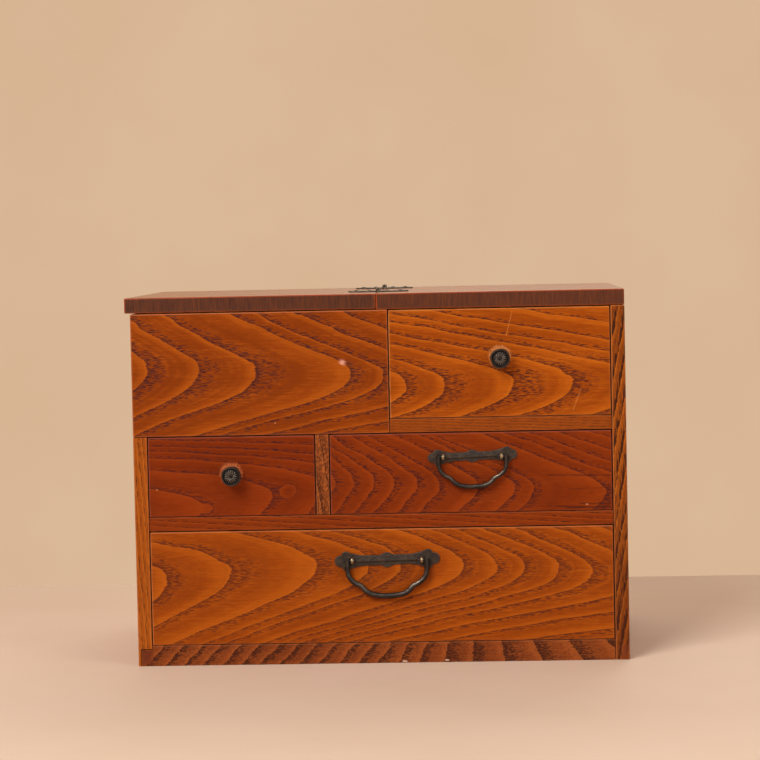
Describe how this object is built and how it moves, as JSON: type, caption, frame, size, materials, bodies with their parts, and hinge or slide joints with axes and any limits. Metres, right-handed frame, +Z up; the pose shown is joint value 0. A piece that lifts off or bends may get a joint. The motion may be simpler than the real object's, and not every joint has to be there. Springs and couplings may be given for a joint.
{
  "type": "tansu chest",
  "caption": "Small wooden tansu chest with a hinged lid over a compartment, sliding drawers, iron knobs and iron bail handles.",
  "frame": {"origin": "centre of the carcass's underside, on the surface that the chest stands on", "axes": "+X to the right seen from the front, +Y to the back, +Z up; the drawers open towards -Y"},
  "size_m": [0.3337, 0.2212, 0.2512],
  "materials": {
    "carcass_wood": "satin lacquer over reddish ring-porous wood",
    "top_wood": "satin lacquer, dark brown",
    "front_wood": "satin lacquer, orange brown with bold grain",
    "red_front_wood": "satin lacquer, red brown with bold grain",
    "inner_wood": "bare, pale and straight grained",
    "black_iron": "blackened, worn on raised edges",
    "hinge_iron": "blackened, greyed by age",
    "eye_brass": "worn satin"
  },
  "bodies": {
    "carcass": {"left_side": "carcass_wood", "right_side": "carcass_wood", "bottom_board": "carcass_wood", "lower_shelf": "carcass_wood", "upper_shelf": "carcass_wood", "middle_partition": "carcass_wood", "upper_partition": "inner_wood", "back_board": "inner_wood", "front_panel": "front_wood", "fixed_top": "top_wood", "front_hinge_top_leaf": "hinge_iron", "front_hinge_pin": "hinge_iron", "front_hinge_top_nail_1": "hinge_iron", "front_hinge_top_nail_2": "hinge_iron", "rear_hinge_top_leaf": "hinge_iron", "rear_hinge_pin": "hinge_iron", "rear_hinge_top_nail_1": "hinge_iron", "rear_hinge_top_nail_2": "hinge_iron"},
    "lid": {"lid": "top_wood", "front_hinge_lid_leaf": "hinge_iron", "front_hinge_lid_nail_1": "hinge_iron", "front_hinge_lid_nail_2": "hinge_iron", "rear_hinge_lid_leaf": "hinge_iron", "rear_hinge_lid_nail_1": "hinge_iron", "rear_hinge_lid_nail_2": "hinge_iron"},
    "top_right_drawer": {"top_right_drawer_front": "front_wood", "top_right_drawer_left_side": "inner_wood", "top_right_drawer_right_side": "inner_wood", "top_right_drawer_back": "inner_wood", "top_right_drawer_bottom": "inner_wood", "top_right_knob": "black_iron", "top_right_knob_nut": "black_iron"},
    "middle_left_drawer": {"middle_left_drawer_front": "red_front_wood", "middle_left_drawer_left_side": "inner_wood", "middle_left_drawer_right_side": "inner_wood", "middle_left_drawer_back": "inner_wood", "middle_left_drawer_bottom": "inner_wood", "middle_left_knob": "black_iron", "middle_left_knob_nut": "black_iron"},
    "middle_right_drawer": {"middle_right_drawer_front": "red_front_wood", "middle_right_drawer_left_side": "inner_wood", "middle_right_drawer_right_side": "inner_wood", "middle_right_drawer_back": "inner_wood", "middle_right_drawer_bottom": "inner_wood", "middle_right_backplate": "black_iron", "middle_right_left_eye_pin": "eye_brass", "middle_right_right_eye_pin": "eye_brass"},
    "middle_right_bail": {"middle_right_bail": "black_iron"},
    "bottom_drawer": {"bottom_drawer_front": "front_wood", "bottom_drawer_left_side": "inner_wood", "bottom_drawer_right_side": "inner_wood", "bottom_drawer_back": "inner_wood", "bottom_drawer_bottom": "inner_wood", "bottom_backplate": "black_iron", "bottom_left_eye_pin": "eye_brass", "bottom_right_eye_pin": "eye_brass"},
    "bottom_bail": {"bottom_bail": "black_iron"}
  },
  "joints": [
    {"name": "lid_hinge", "type": "hinge", "parent": "carcass", "child": "lid", "pos_m": [-0.0003, 0, 0.24975], "axis": [0, 1, 0], "range_deg": [0, 180]},
    {"name": "top_right_drawer_slide", "type": "slide", "parent": "carcass", "child": "top_right_drawer", "axis": [0, -1, 0], "range_m": [0, 0.15]},
    {"name": "middle_left_drawer_slide", "type": "slide", "parent": "carcass", "child": "middle_left_drawer", "axis": [0, -1, 0], "range_m": [0, 0.15]},
    {"name": "middle_right_drawer_slide", "type": "slide", "parent": "carcass", "child": "middle_right_drawer", "axis": [0, -1, 0], "range_m": [0, 0.15]},
    {"name": "bottom_drawer_slide", "type": "slide", "parent": "carcass", "child": "bottom_drawer", "axis": [0, -1, 0], "range_m": [0, 0.15]},
    {"name": "middle_right_bail_swing", "type": "hinge", "parent": "middle_right_drawer", "child": "middle_right_bail", "pos_m": [0.06225, -0.10885, 0.13835], "axis": [-1, 0, 0], "range_deg": [-4, 170]},
    {"name": "bottom_bail_swing", "type": "hinge", "parent": "bottom_drawer", "child": "bottom_bail", "pos_m": [0.004, -0.10885, 0.0697], "axis": [-1, 0, 0], "range_deg": [-4, 170]}
  ]
}
